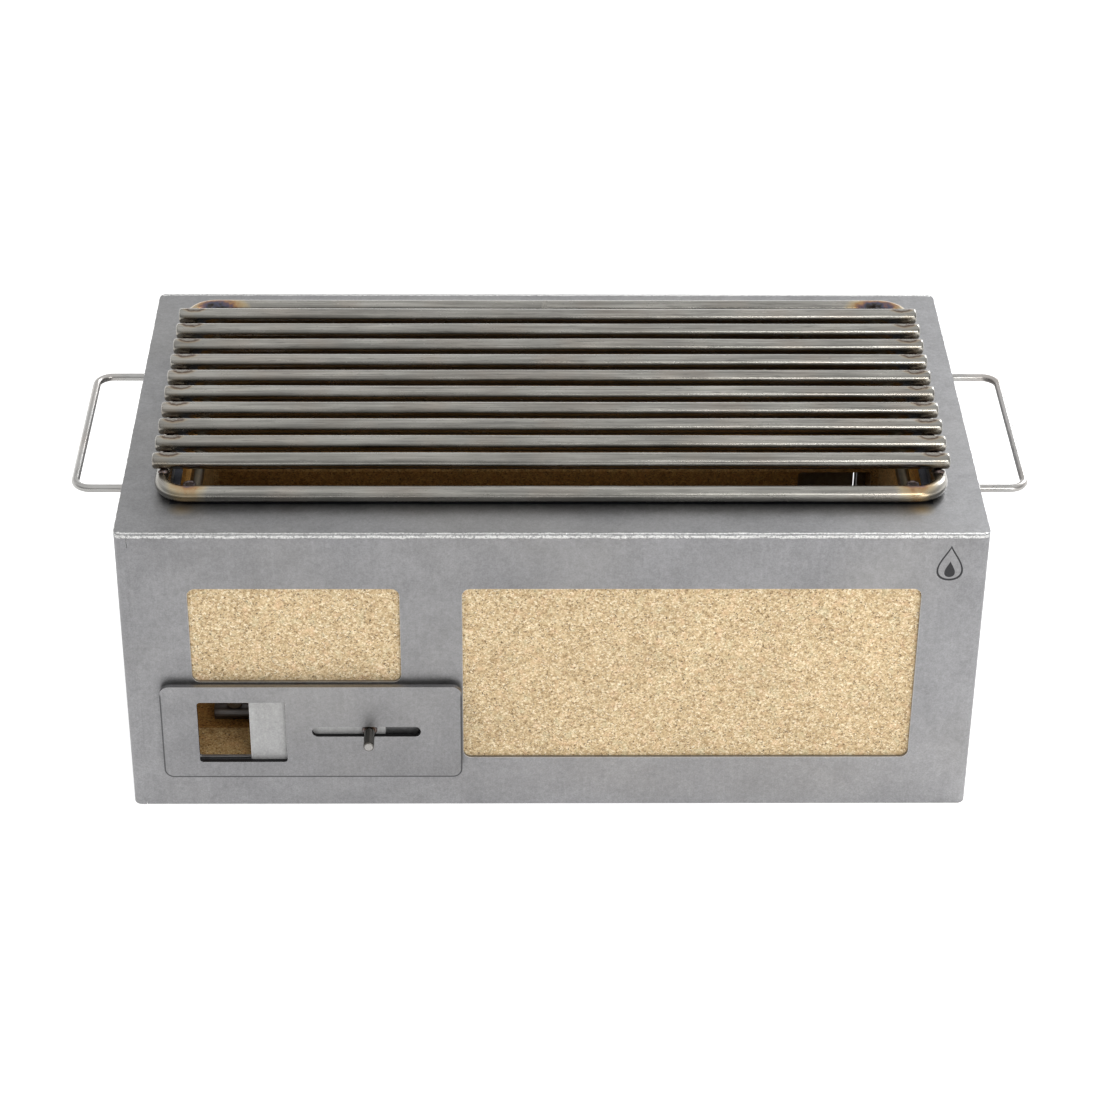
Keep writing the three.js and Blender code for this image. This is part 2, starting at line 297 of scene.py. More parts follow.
# The same on the bars: a dark brown ring round a scaled grey middle.
RING_COLOURS = [
    (0.00, (0.40, 0.34, 0.24, 0.0)),
    (0.22, (0.30, 0.22, 0.13, 0.35)),
    (0.42, (0.07, 0.04, 0.025, 0.9)),
    (0.56, (0.09, 0.06, 0.045, 0.8)),
    (0.72, (0.20, 0.18, 0.15, 0.5)),
    (1.00, (0.15, 0.13, 0.11, 0.6)),
]


def heated(look, colour, heat, colours=HEAT_COLOURS):
    """Lays the heat colours over a colour, by heat from 0 to 1."""
    tint = look.ramp(heat, colours)
    return look.mix(tint.outputs["Alpha"], colour, tint.outputs["Color"])


# ---------------------------------------------------------------- materials

# Inside these distances from the middle the boards face the fire, or line the air tunnels.
HOT_SIDE = Vector((228.6 * MM, 118.6 * MM))
TUNNEL_REACH = (224.5 * MM, 147.5 * MM, 79.6 * MM)
PLATE_CORNER = 6 * MM  # the radius of a vent cover's corners
OUTLINE_SHADE_WIDTH = 0.75 * MM  # how far in from its edge a vent cover is painted with a thin line of shade, along its bottom and sides
# Painted shade on the boards' inner faces, from deep down to high up.
INNER_LOW_SHADE, INNER_HIGH_SHADE = (0.62, 0.48, 0.28), (1.0, 0.66, 0.24)
# Painted shade on the boards lining the air tunnels.
TUNNEL_SHADE = (0.72, 0.62, 0.45)


def rolled_steel(name, base, tints=(), metallic=0.95, rough=0.44, painted_height_shade=0.0, grate_shade=None, plate=None):
    """Cold-rolled sheet: a fine mottle, faint upright streaks and a few soft smudges.

    fade darkens its top and lightens its bottom, a painted shade and painted light that even out how the floor
    lights the walls.
    soot is how far from the middle, in x and y, the top plate takes a bluish painted shade where the grate
    shades it.
    plate is the box of an upright plate that gets a thin line of painted shade along its bottom and sides.
    """
    look = Look(name, Metallic=metallic)
    upright = look.scaled(look.place, (1, 1, 0.06))
    grain = look.noise(look.place, 0.9 * MM, 2, 0.6)
    mottle = look.noise(look.place, 2.4 * MM, 3, 0.65)
    streaks = look.noise(upright, 2.2 * MM, 3, 0.6)
    clouds = look.noise(look.place, 70 * MM, 3, 0.55)
    smudges = look.noise(look.place, 24 * MM, 4, 0.6, 0.8)
    colour = look.tone(look.flat(base), grain, 0.3, 0.7, 0.11)
    colour = look.tone(colour, mottle, 0.3, 0.7, 0.09)
    colour = look.tone(colour, streaks, 0.3, 0.7, 0.03)
    colour = look.tone(colour, clouds, 0.3, 0.7, 0.06)
    colour = look.tone(colour, smudges, 0.62, 0.42, 0.045)
    # Painted shade towards the top and painted light towards the bottom, evening out how the floor lights the
    # walls.
    if painted_height_shade:
        height = look.node("SeparateXYZ", {0: look.place}).outputs["Z"]
        colour = look.tone(colour, height, 0.2, 0.0, painted_height_shade)
    warmth = look.spread(look.noise(look.place, 110 * MM, 2), 0.45, 0.7, 0.0, 0.12)
    colour = look.mix(warmth, colour, (0.36, 0.34, 0.30))
    if grate_shade:
        # Painted shade, slightly blue, where the grate shades the top plate.
        colour = look.mix(look.inside(grate_shade, "XY"), colour, (0.40, 0.42, 0.50), "MULTIPLY")
    if plate:
        # A thin painted shade along the vent cover's bottom and sides, where its shadow gap shows.
        line = look.math("MULTIPLY", look.along_outline(*plate, PLATE_CORNER, OUTLINE_SHADE_WIDTH), 0.8)
        colour = look.mix(line, colour, (0.045, 0.045, 0.048))
    for point, radius, strength in tints:
        ragged = look.math("MULTIPLY", look.near(point, radius), look.spread(clouds, 0.2, 0.7, 0.6, 1.2))
        colour = heated(look, colour, look.math("MULTIPLY", ragged, strength))
    roughness = look.spread(look.noise(look.place, 9 * MM, 4, 0.65), 0.3, 0.7, rough - 0.06, rough + 0.06)
    normal = look.bump(mottle, 0.3, 0.12 * MM)
    normal = look.bump(grain, 0.25, 0.05 * MM, normal)
    return look.finish(colour, roughness, normal)


def cut_wall(name):
    """The wall a laser leaves in sheet steel: dark oxide with fine upright lines."""
    look = Look(name, Metallic=0.0, Specular_IOR_Level=0.15)
    lines = look.noise(look.scaled(look.place, (1, 0.1, 1)), 0.4 * MM, 2, 0.6)
    colour = look.tone(look.flat((0.012, 0.0115, 0.012)), lines, 0.3, 0.7, 0.3)
    return look.finish(colour, look.spread(lines, 0.3, 0.7, 0.5, 0.7), look.bump(lines, 0.3, 0.05 * MM))


def bare_edge(name, base):
    """Where a sheet's edge has lost its mill finish: brighter, with small nicks."""
    look = Look(name, Metallic=1.0)
    nicks = look.noise(look.place, 0.9 * MM, 3, 0.7)
    colour = look.tone(look.flat(base), nicks, 0.3, 0.7, 0.18)
    roughness = look.spread(look.noise(look.place, 4 * MM, 3), 0.3, 0.7, 0.26, 0.42)
    return look.finish(colour, roughness, look.bump(nicks, 0.4, 0.05 * MM))


def ground_weld(name):
    """A weld ground back to white metal: crossed scratches, small pits and a few unground hollows."""
    look = Look(name, Metallic=1.0)
    scratches = look.noise(look.place, 0.6 * MM, 2, 0.7)
    lumps = look.noise(look.place, 1.5 * MM, 3, 0.6)
    patches = look.noise(look.place, 6 * MM, 3, 0.6)
    colour = look.tone(look.flat((0.58, 0.58, 0.57)), scratches, 0.3, 0.7, 0.25)
    hollows = look.spread(look.noise(look.place, 1.1 * MM, 3, 0.6), 0.5, 0.62, 0.0, 0.7)
    colour = look.mix(hollows, colour, (0.16, 0.16, 0.165))
    roughness = look.spread(patches, 0.35, 0.65, 0.36, 0.5)
    normal = look.bump(lumps, 0.9, 0.6 * MM)
    return look.finish(colour, roughness, look.bump(scratches, 0.6, 0.15 * MM, normal))


def weld_bead(name, light=(0.42, 0.40, 0.38), dark=(0.02, 0.018, 0.02)):
    """Raw weld metal: scaly, blue and brown, with glassy specks."""
    look = Look(name, Metallic=0.9)
    scale = look.noise(look.place, 1.6 * MM, 4, 0.65, 0.6)
    shades = [(0.30, dark), (0.45, (0.10, 0.085, 0.085)), (0.55, (0.17, 0.12, 0.10)),
              (0.66, (0.12, 0.13, 0.16)), (0.74, light)]
    colour = look.ramp(scale, shades).outputs["Color"]
    roughness = look.spread(scale, 0.3, 0.7, 0.5, 0.28)
    normal = look.bump(look.noise(look.place, 0.7 * MM, 3, 0.6), 0.6, 0.2 * MM)
    return look.finish(colour, roughness, normal)


def drawn_rod(name, base, contrast, rough, heat=None, colours=HEAT_COLOURS):
    """A drawn round bar: streaks and draw lines run along it, however it is bent."""
    look = Look(name, Metallic=1.0)
    along = look.attribute("rod", "Vector")
    seed = look.attribute("rod_seed", "Fac")
    lines = look.noise(look.scaled(along, (1, 1, 0.012)), 0.7 * MM, 3, 0.65, seed=seed)
    bands = look.noise(look.scaled(along, (1, 1, 0.03)), 2.6 * MM, 2, 0.5, seed=seed)
    patches = look.noise(look.scaled(along, (1, 1, 0.25)), 9 * MM, 4, 0.6, seed=seed)
    specks = look.noise(look.scaled(along, (1, 1, 0.45)), 0.8 * MM, 2, 0.6, seed=seed)
    colour = look.tone(look.flat(base), lines, 0.3, 0.7, contrast)
    colour = look.tone(colour, bands, 0.3, 0.7, contrast)
    colour = look.tone(colour, patches, 0.3, 0.7, contrast * 0.7)
    warmth = look.spread(look.noise(along, 45 * MM, 2, seed=seed), 0.48, 0.7, 0.0, 0.3)
    colour = look.mix(warmth, colour, (base[0] * 1.08, base[1] * 0.86, base[2] * 0.74))
    colour = look.mix(look.spread(specks, 0.66, 0.72, 0.0, 0.6), colour, (0.07, 0.065, 0.06))
    flecks = look.noise(look.scaled(along, (1, 1, 0.07)), 1.1 * MM, 4, 0.65, seed=seed)
    colour = look.mix(look.spread(flecks, 0.56, 0.68, 0.0, 0.6), colour, tuple(c * 0.45 for c in base))
    if heat:
        colour = heated(look, colour, heat(look, along), colours)
    roughness = look.spread(patches, 0.3, 0.7, rough * 0.85, rough * 1.2)
    normal = look.bump(lines, 0.35, 0.06 * MM)
    normal = look.bump(specks, 0.3, 0.05 * MM, normal)
    return look.finish(colour, roughness, normal)


def hottest(look, spots):
    total = spots[0]
    for spot in spots[1:]:
        total = look.math("MAXIMUM", total, spot)
    return total


def ragged(look, heat, size):
    """Breaks up an even heat pattern with noise, but leaves cold metal cold."""
    break_up = look.spread(look.noise(look.place, size, 3, 0.6), 0.3, 0.7, 0.65, 1.25)
    return look.math("MULTIPLY", heat, break_up)


def runner_heat(look, along):
    """Heat left on the grate frame where the four ends of the hanging rods are welded to it."""
    front, rear = RUNNER_TIPS
    spots = [look.math("MULTIPLY", look.near(front, 24 * MM, (1.5, 1.2, 1)), 1.1),
             look.math("MULTIPLY", look.near(rear + Vector((0, 3 * MM, 0)), 17 * MM, (0.75, 1.2, 1)), 1.2)]
    return ragged(look, hottest(look, spots), 5 * MM)


def bar_heat(look, along):
    """Heat on each cross bar over the side rods: a narrow oval at the rear of its top, and some below."""
    both_ends = look.node("VectorMath", {0: along}, operation="ABSOLUTE").outputs[0]
    parts = look.node("SeparateXYZ", {0: along}).outputs
    ends = look.node("SeparateXYZ", {0: both_ends}).outputs
    folded = look.node("CombineXYZ", {"X": parts["X"], "Y": parts["Y"], "Z": ends["Z"]}).outputs[0]
    top = look.near((*BAR_HEAT_SPOT, BAR_HEAT_REACH), 9.5 * MM, (1.9, 1.9, 1), folded)
    under = look.near((0, -5 * MM, SIDE_ROD_X), 10 * MM, (1, 1, 1), folded)
    spots = [look.math("MULTIPLY", top, 1.35), look.math("MULTIPLY", under, 0.8)]
    return ragged(look, hottest(look, spots), 3 * MM)


def tip_heat(look, along):
    """Heat on the upper ends of the hanging rods."""
    height = look.node("SeparateXYZ", {0: look.place}).outputs["Z"]
    return ragged(look, look.spread(height, RUNNER_TIPS[0].z - 17 * MM, RUNNER_TIPS[0].z, 0.1, 0.95), 5 * MM)


def root_heat(look, along):
    """Heat on a damper pin round its welded root."""
    depth = look.math("ABSOLUTE", look.node("SeparateXYZ", {0: look.place}).outputs["Y"])
    return ragged(look, look.spread(depth, PIN_ROOT, PIN_ROOT + 4 * MM, 0.7, 0.0), 3 * MM)


def flake_board(name):
    """Pressed vermiculite: fine grains, cream to tan, with dark specks. Its inner faces take a painted shade,
    browner and darker further down, and the air tunnels' linings a brown painted shade.
    """
    look = Look(name, Metallic=0.0, Specular_IOR_Level=0.25)
    wobble = look.node("TexNoise", {"Vector": look.place, "Scale": 1 / (0.8 * MM), "Detail": 2.0})
    shift = look.node("VectorMath", {0: wobble.outputs["Color"], 1: (0.5, 0.5, 0.5)}, operation="SUBTRACT")
    step = look.node("VectorMath", {0: shift.outputs[0], "Scale": 1.3 * MM}, operation="SCALE")
    place = look.node("VectorMath", {0: look.place, 1: step.outputs[0]}, operation="ADD").outputs[0]
    coarse = look.node("SeparateXYZ", {0: look.cells(place, 1.5 * MM)}).outputs
    fine = look.node("SeparateXYZ", {0: look.cells(place, 0.8 * MM)}).outputs
    flakes = [(0.00, (0.20, 0.13, 0.06)), (0.10, (0.36, 0.25, 0.125)), (0.35, (0.50, 0.365, 0.205)),
              (0.64, (0.58, 0.44, 0.26)), (0.86, (0.68, 0.55, 0.345)), (1.00, (0.80, 0.70, 0.50))]
    crumbs = [(0.00, (0.09, 0.055, 0.03)), (0.12, (0.30, 0.20, 0.10)), (0.35, (0.47, 0.34, 0.185)),
              (0.68, (0.59, 0.45, 0.27)), (0.86, (0.75, 0.62, 0.41)), (1.00, (0.92, 0.84, 0.66))]
    colour = look.mix(0.6, look.ramp(coarse["X"], flakes).outputs[0], look.ramp(fine["X"], crumbs).outputs[0])
    dark = look.spread(fine["Y"], 0.965, 0.975, 0.0, 0.85)
    colour = look.mix(dark, colour, (0.07, 0.045, 0.03))
    tints = look.noise(look.place, 7 * MM, 2, 0.5)
    colour = look.mix(look.spread(tints, 0.56, 0.72, 0.0, 0.3), colour, (0.74, 0.48, 0.30))
    colour = look.mix(look.spread(tints, 0.42, 0.30, 0.0, 0.3), colour, (0.56, 0.52, 0.34))
    colour = look.tone(colour, look.noise(look.place, 26 * MM, 3, 0.6), 0.3, 0.7, 0.05)
    hot = look.inside((HOT_SIDE.x, HOT_SIDE.y), "XY")
    tunnel = look.inside(TUNNEL_REACH)
    # Brown painted shade inside the air tunnels.
    colour = look.mix(tunnel, colour, TUNNEL_SHADE, "MULTIPLY")
    # Painted shade: the inner faces grow browner and darker further down.
    height = look.spread(look.node("SeparateXYZ", {0: look.place}).outputs["Z"], 0.11, 0.18)
    brown = look.ramp(height, [(0.0, INNER_LOW_SHADE), (1.0, INNER_HIGH_SHADE)]).outputs["Color"]
    colour = look.mix(hot, colour, brown, "MULTIPLY")
    roughness = look.spread(fine["Z"], 0.0, 1.0, 0.72, 0.98)
    normal = look.bump(coarse["Z"], 0.35, 0.2 * MM)
    normal = look.bump(look.noise(look.place, 0.8 * MM, 3, 0.65), 0.5, 0.25 * MM, normal)
    return look.finish(colour, roughness, normal)


def floor_paint():
    """A lit white table: it glows a little, so shadows on it stay faint."""
    look = Look("floor_paint", Metallic=0.0, Roughness=0.9, Specular_IOR_Level=0.1, Emission_Strength=0.6)
    look.shader.inputs["Emission Color"].default_value = (1, 1, 1, 1)
    grain = look.noise(look.place, 0.4, 2)
    return look.finish(look.tone(look.flat((0.68, 0.68, 0.68)), grain, 0.3, 0.7, 0.004))


def etched_mark(name):
    look = Look(name, Metallic=0.6, Roughness=0.6)
    speckle = look.noise(look.place, 0.5 * MM, 2, 0.6)
    return look.finish(look.tone(look.flat((0.03, 0.03, 0.032)), speckle, 0.3, 0.7, 0.3))


# ---------------------------------------------------------------- pieces

JOIN_DISTANCE = 0.002 * MM


def add_piece(name, bm, materials, smooth_below=40):
    """A new object from a bmesh. Edges sharper than the angle, in degrees, stay sharp."""
    mesh = bpy.data.meshes.new(name)
    bm.to_mesh(mesh)
    bm.free()
    for material in materials:
        mesh.materials.append(material)
    mesh.polygons.foreach_set("use_smooth", [True] * len(mesh.polygons))
    mesh.set_sharp_from_angle(angle=math.radians(smooth_below))
    piece = bpy.data.objects.new(name, mesh)
    bpy.context.scene.collection.objects.link(piece)
    return piece


def belongs(piece, body, slot, *nodes):
    """The piece rides on a body and stands for the CAD nodes named. The slot is not used."""
    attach(piece, body)
    if nodes:
        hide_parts(*nodes)
    return piece


def body_of(node):
    return NODES[node]["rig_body"]


def refined_sheet(node, slot, materials, rim, walls=None):
    """The CAD solid again, with its sharp edges rounded to the rim's width.

    With walls set to an axis, the faces along that axis round the sheet's holes take the second material,
    and the outer rim takes the third, a dark painted shade, except along its top.
    """
    bm = bmesh.new()
    bm.from_mesh(NODES[node].data)
    bmesh.ops.remove_doubles(bm, verts=bm.verts, dist=JOIN_DISTANCE)
    bmesh.ops.dissolve_limit(bm, angle_limit=math.radians(1), verts=bm.verts, edges=bm.edges)
    sharp = [edge for edge in bm.edges if edge.calc_face_angle(0) > math.radians(50)]
    low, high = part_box(node)
    middle, half = (low + high) / 2, (high - low) / 2
    for face in bm.faces:
        away = face.calc_center_median() - middle
        within = all(abs(away[i]) < half[i] - 4 * MM for i in range(3) if i != walls)
        face.material_index = 1 if walls is not None and within and abs(face.normal[walls]) < 0.5 else 0
    bmesh.ops.bevel(bm, geom=sharp, offset=rim, segments=2, profile=0.5, affect="EDGES",
                    material=len(materials) - 1, clamp_overlap=True)
    if walls is not None:
        bm.normal_update()
        for face in bm.faces:
            away = face.calc_center_median() - middle
            outer = any(abs(away[i]) > half[i] - 2 * MM for i in range(3) if i != walls)
            # The outer rim, except where it faces up, takes the painted shade.
            if outer and face.material_index == len(materials) - 1 and face.normal.z < 0.35:
                face.material_index = 2
    piece = add_piece(node + "_sheet" if "sheet" not in node else node + "_rolled", bm, materials)
    piece.modifiers.new("flat_faces", "WEIGHTED_NORMAL").keep_sharp = True
    return belongs(piece, body_of(node), slot, node)


# ---------------------------------------------------------------- rods

ROD_SIDES = 32
ARC_STEPS = 12
RUN_STEP = 4 * MM
# A rod's rounded end, as (how far along, how far in) in shares of its rounding.
END_ROUNDING = ((0.0, 1.0), (0.08, 0.62), (0.29, 0.29), (0.62, 0.08), (1.0, 0.0))


def bent_line(corners, bend):
    """Points along straight runs, with an arc at each corner. The first and last corners are ends."""
    points = [corners[0]]
    for before, corner, after in zip(corners, corners[1:], corners[2:]):
        back = (before - corner).normalized() * bend
        onward = (after - corner).normalized() * bend
        centre = corner + back + onward
        for i in range(ARC_STEPS + 1):
            angle = math.pi / 2 * i / ARC_STEPS
            points.append(centre - onward * math.cos(angle) - back * math.sin(angle))
    points.append(corners[-1])
    line = [points[0]]
    for start, end in zip(points, points[1:]):
        steps = max(1, round((end - start).length / RUN_STEP))
        line += [start.lerp(end, i / steps) for i in range(1, steps + 1)]
    return line


def directions(line, closed):
    """The unit direction of travel at each point."""
    last = len(line) - 1
    found = []
    for i in range(len(line)):
        before = line[i - 1] if i > 0 else line[last] if closed else line[0]
        after = line[i + 1] if i < last else line[0] if closed else line[last]
        found.append((after - before).normalized())
    return found


def sweep_rod(bm, line, normal, radius, closed=False, chamfer=0.7 * MM, wobble=0.0, seed=0.0, cap=1):
    """Adds a round rod along a line that lies in the plane with that normal.

    Each vertex keeps its place on the straightened rod, measured from the middle of its length.
    """
    straight = bm.verts.layers.float_vector.get("rod") or bm.verts.layers.float_vector.new("rod")
    seeds = bm.verts.layers.float.get("rod_seed") or bm.verts.layers.float.new("rod_seed")
    travel = [0.0]
    for start, end in zip(line, line[1:]):
        travel.append(travel[-1] + (end - start).length)
    stations = [(p, d, s, radius) for p, d, s in zip(line, directions(line, closed), travel)]
    if not closed:
        (first, d0, s0, _), (last, d1, s1, _) = stations[0], stations[-1]
        opening = [(first + d0 * a * chamfer, d0, s0 + a * chamfer, radius - b * chamfer)
                   for a, b in END_ROUNDING]
        closing = [(last - d1 * a * chamfer, d1, s1 - a * chamfer, radius - b * chamfer)
                   for a, b in END_ROUNDING]
        stations = opening + stations[1:-1] + closing[::-1]
    rings = []
    for place, direction, s, r in stations:
        across = direction.cross(normal)
        drift = across * noise.noise((s * 9, seed, 0.3)) + normal * noise.noise((s * 9, seed, 7.1))
        ring = []
        for i in range(ROD_SIDES):
            angle = 2 * math.pi * i / ROD_SIDES
            out = across * math.cos(angle) + normal * math.sin(angle)
            vert = bm.verts.new(place + drift * wobble + out * r)
            vert[straight] = Vector((math.cos(angle) * r, math.sin(angle) * r, s - travel[-1] / 2))
            vert[seeds] = seed
            ring.append(vert)
        rings.append(ring)
    pairs = list(zip(rings, rings[1:])) + ([(rings[-1], rings[0])] if closed else [])
    for near, far in pairs:
        for i in range(ROD_SIDES):
            j = (i + 1) % ROD_SIDES
            bm.faces.new((near[i], near[j], far[j], far[i]))
    if not closed:
        bm.faces.new(rings[0][::-1]).material_index = cap
        bm.faces.new(rings[-1]).material_index = cap
    bmesh.ops.recalc_face_normals(bm, faces=bm.faces)


def straight_rod(node, slot, materials, wobble, seed, chamfer=0.7 * MM):
    """Stands for a straight CAD bar, along whichever axis it is longest."""
    low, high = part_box(node)
    middle, size = (low + high) / 2, high - low
    axis = max(range(3), key=lambda i: size[i])
    direction = (EAST, NORTH, UP)[axis]
    radius = min(size) / 2
    half = size[axis] / 2
    steps = round(2 * half / RUN_STEP)
    line = [middle + direction * half * (2 * i / steps - 1) for i in range(steps + 1)]
    bm = bmesh.new()
    sweep_rod(bm, line, UP, radius, wobble=wobble, seed=seed, chamfer=chamfer)
    piece = add_piece(node + "_rod", bm, materials)
    return belongs(piece, body_of(node), slot, node)


# ---------------------------------------------------------------- weld metal

def add_bead(bm, centre, half_sizes, seed, detail=3, lumpiness=0.22):
    """A lump of weld metal, pressed to the given half sizes."""
    made = bmesh.ops.create_icosphere(bm, subdivisions=detail, radius=1)
    away = Vector((seed * 3.1, seed * 1.7, seed * 0.9))
    for vert in made["verts"]:
        swell = 1 + lumpiness * noise.noise(vert.co * 1.6 + away)
        vert.co = centre + Vector(c * h for c, h in zip(vert.co * swell, half_sizes))


def add_ring_bead(bm, centre, axis, radius, thickness, seed, steps=40, sides=10):
    """A ring of weld metal round an axis, a little lumpy."""
    across = axis.orthogonal().normalized()
    other = axis.cross(across)
    rings = []
    for i in range(steps):
        turn = 2 * math.pi * i / steps
        out = across * math.cos(turn) + other * math.sin(turn)
        swell = 1 + 0.3 * noise.noise((math.cos(turn) * 2, math.sin(turn) * 2, seed))
        ring = []
        for k in range(sides):
            angle = 2 * math.pi * k / sides
            offset = out * math.cos(angle) + axis * math.sin(angle)
            ring.append(bm.verts.new(centre + out * radius + offset * thickness * swell))
        rings.append(ring)
    for near, far in zip(rings, rings[1:] + rings[:1]):
        for k in range(sides):
            j = (k + 1) % sides
            bm.faces.new((near[k], near[j], far[j], far[k]))
    bmesh.ops.recalc_face_normals(bm, faces=bm.faces)


def sweep_strip(bm, stations, closed):
    """Joins rings of points, one per station, into a solid strip."""
    rings = [[bm.verts.new(point) for point in station] for station in stations]
    count = len(rings[0])
    pairs = list(zip(rings, rings[1:])) + ([(rings[-1], rings[0])] if closed else [])
    for near, far in pairs:
        for i in range(count):
            j = (i + 1) % count
            bm.faces.new((near[i], near[j], far[j], far[i]))
    if not closed:
        bm.faces.new(rings[0][::-1])
        bm.faces.new(rings[-1])
    bmesh.ops.recalc_face_normals(bm, faces=bm.faces)


# ---------------------------------------------------------------- casing

CASING_LOW, CASING_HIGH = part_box("top_plate")[0].copy(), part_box("top_plate")[1].copy()
CASING_BEND = 5 * MM
RIM = 0.35 * MM
BOARD_RIM = 0.8 * MM
EDGE_STEP = 1.5 * MM
# The edge weld's section, as (out from the wall's face, up from the top face).
EDGE_SECTION = [(-0.9, -3.0), (0.05, -2.6), (0.14, -2.0), (0.16, -0.9), (-0.10, -0.28),
                (-0.75, 0.10), (-1.5, 0.13), (-2.3, 0.05), (-2.8, -0.8)]
SMALL_EDGE_WELD = 0.14  # how far the short sides' weld stands out, as a share of the long sides'
# How far from the middle, in x and y, the top plate is painted with the grate's shade.
GRATE_SHADE_REACH = (229.5 * MM, 116 * MM)
SEAM_FROM_END = 8 * MM
SEAM_LOW, SEAM_HIGH = 2 * MM, 191 * MM


def casing_materials():
    burn_y = RUNNER_TIPS[0].y - 18 * MM
    spot = (RUNNER_TIPS[0].x + 4 * MM, burn_y, CASING_HIGH.z)
    # The walls get painted shade at the top and painted light at the bottom.
    sheet = rolled_steel("casing_steel", (0.258, 0.257, 0.263), painted_height_shade=0.13)
    tint = [(spot, 9 * MM, 0.22)]
    # The top plate is the walls' steel with a darker base: a painted shade.
    top = rolled_steel("top_plate_steel_painted_shade", (0.216, 0.216, 0.219), tint, rough=0.4, grate_shade=GRATE_SHADE_REACH)
    return sheet, top


def corner_line():
    """The casing's outer edge seen from above, as (point, outward direction) pairs."""
    arc = CASING_BEND
    turns = 10
    found = []
    corners = [(CASING_HIGH.x - arc, CASING_LOW.y + arc, -90), (CASING_HIGH.x - arc, CASING_HIGH.y - arc, 0),
               (CASING_LOW.x + arc, CASING_HIGH.y - arc, 90), (CASING_LOW.x + arc, CASING_LOW.y + arc, 180)]
    for x, y, start in corners:
        for i in range(turns + 1):
            angle = math.radians(start + 90 * i / turns)
            out = Vector((math.cos(angle), math.sin(angle), 0))
            found.append((Vector((x, y, CASING_HIGH.z)) + out * arc, out))
    line = []
    for (start, out), (end, _) in zip(found, found[1:] + found[:1]):
        steps = max(1, round((end - start).length / EDGE_STEP))
        line += [(start.lerp(end, i / steps), out) for i in range(steps)]
    return line


def edge_weld(material):
    """The weld that joins the top plate to the walls, ground to a rough bright edge."""
    stations = []
    for place, out in corner_line():
        main = abs(out.y) > 0.7  # the long sides carry the heavier bead
        uneven = 1 + 0.28 * noise.noise(place * 60) + 0.22 * noise.noise(place * 320)
        grow = (1.0 if main else SMALL_EDGE_WELD) * uneven
        bulge = 0.09 * noise.noise(place * 210 + Vector((3, 0, 0)))
        stations.append([place + out * (x * grow + (bulge if -1.5 < x else 0)) * MM
                         + UP * (z * grow + (bulge if z > -2.7 else 0)) * MM for x, z in EDGE_SECTION])
    bm = bmesh.new()
    sweep_strip(bm, stations, closed=True)
    piece = add_piece("top_edge_weld", bm, [material], 180)
    return belongs(piece, body_of("top_plate"), "casing_steel")


def seam_weld(name, side, material):
    """The upright butt weld between the two wall sheets, ground almost flush. side is -1 at the front."""
    x = side * (CASING_HIGH.x - SEAM_FROM_END)
    face = side * CASING_HIGH.y
    section = [(-1.5, -0.4), (-1.3, 0.01), (-0.6, 0.06), (0, 0.08), (0.6, 0.06), (1.3, 0.01), (1.5, -0.4)]
    stations = []
    steps = round((SEAM_HIGH - SEAM_LOW) / EDGE_STEP)
    for i in range(steps + 1):
        z = SEAM_LOW + (SEAM_HIGH - SEAM_LOW) * i / steps
        width = 1 + 0.25 * noise.noise((z * 90, side, 0))
        rise = 1 + 0.6 * noise.noise((z * 240, side, 5))
        stations.append([Vector((x + a * width * MM, face + side * (b if b < 0 else b * rise) * MM, z))
                         for a, b in section])
    bm = bmesh.new()
    sweep_strip(bm, stations, closed=False)
    piece = add_piece(name, bm, [material], 60)
    return belongs(piece, body_of("top_plate"), "casing_steel")


def teardrop(width, height, steps=40):
    """The outline of a drop with its point up, as (x, z) pairs."""
    outline = []
    for i in range(steps):
        t = 2 * math.pi * i / steps
        outline.append((width * math.sin(t) * math.sin(t / 2) ** 1.6, height * math.cos(t)))
    return outline


def flame_mark(material):
    """A plain flame etched on the front: a drop-shaped line round a small solid drop."""
    centre = Vector((237 * MM, CASING_LOW.y, 180 * MM))
    raised, sunk = -0.03 * MM, 0.1 * MM
    bm = bmesh.new()

    def ring(width, height, lift, y):
        return [bm.verts.new(centre + Vector((x * MM, y, (z + lift) * MM)))
                for x, z in teardrop(width, height)]

    outer, inner = ring(11.5, 12.5, 0, raised), ring(9.9, 10.9, -0.3, raised)
    outer_back, inner_back = ring(11.5, 12.5, 0, sunk), ring(9.9, 10.9, -0.3, sunk)
    count = len(outer)
    for a, b in ((outer, inner), (inner, inner_back), (inner_back, outer_back), (outer_back, outer)):
        for i in range(count):
            j = (i + 1) % count
            bm.faces.new((a[i], a[j], b[j], b[i]))
    drop, drop_back = ring(4.6, 5.6, -4.4, raised), ring(4.6, 5.6, -4.4, sunk)
    for i in range(count):
        j = (i + 1) % count
        bm.faces.new((drop[i], drop[j], drop_back[j], drop_back[i]))
    bm.faces.new(drop)
    bm.faces.new(drop_back[::-1])
    bmesh.ops.recalc_face_normals(bm, faces=bm.faces)
    piece = add_piece("etched_flame_mark", bm, [material], 30)
    return belongs(piece, body_of("front_wall_sheet"), "casing_steel")


def make_casing(edge, weld, mark):
    sheet, top = casing_materials()
    for node in ("front_wall_sheet", "rear_wall_sheet", "base_plate"):
        refined_sheet(node, "casing_steel", [sheet, edge], RIM)
    refined_sheet("top_plate", "casing_steel", [top, edge], RIM)
    edge_weld(weld)
    seam_weld("front_seam_weld", -1, sheet)
    seam_weld("rear_seam_weld", 1, sheet)
    flame_mark(mark)
    return sheet


def make_lining():
    board = flake_board("vermiculite")
    for side in ("front", "rear", "left", "right", "floor"):
        refined_sheet("liner_board_" + side, "vermiculite", [board], BOARD_RIM)


# ---------------------------------------------------------------- handles

HANDLE_BEND = 10 * MM


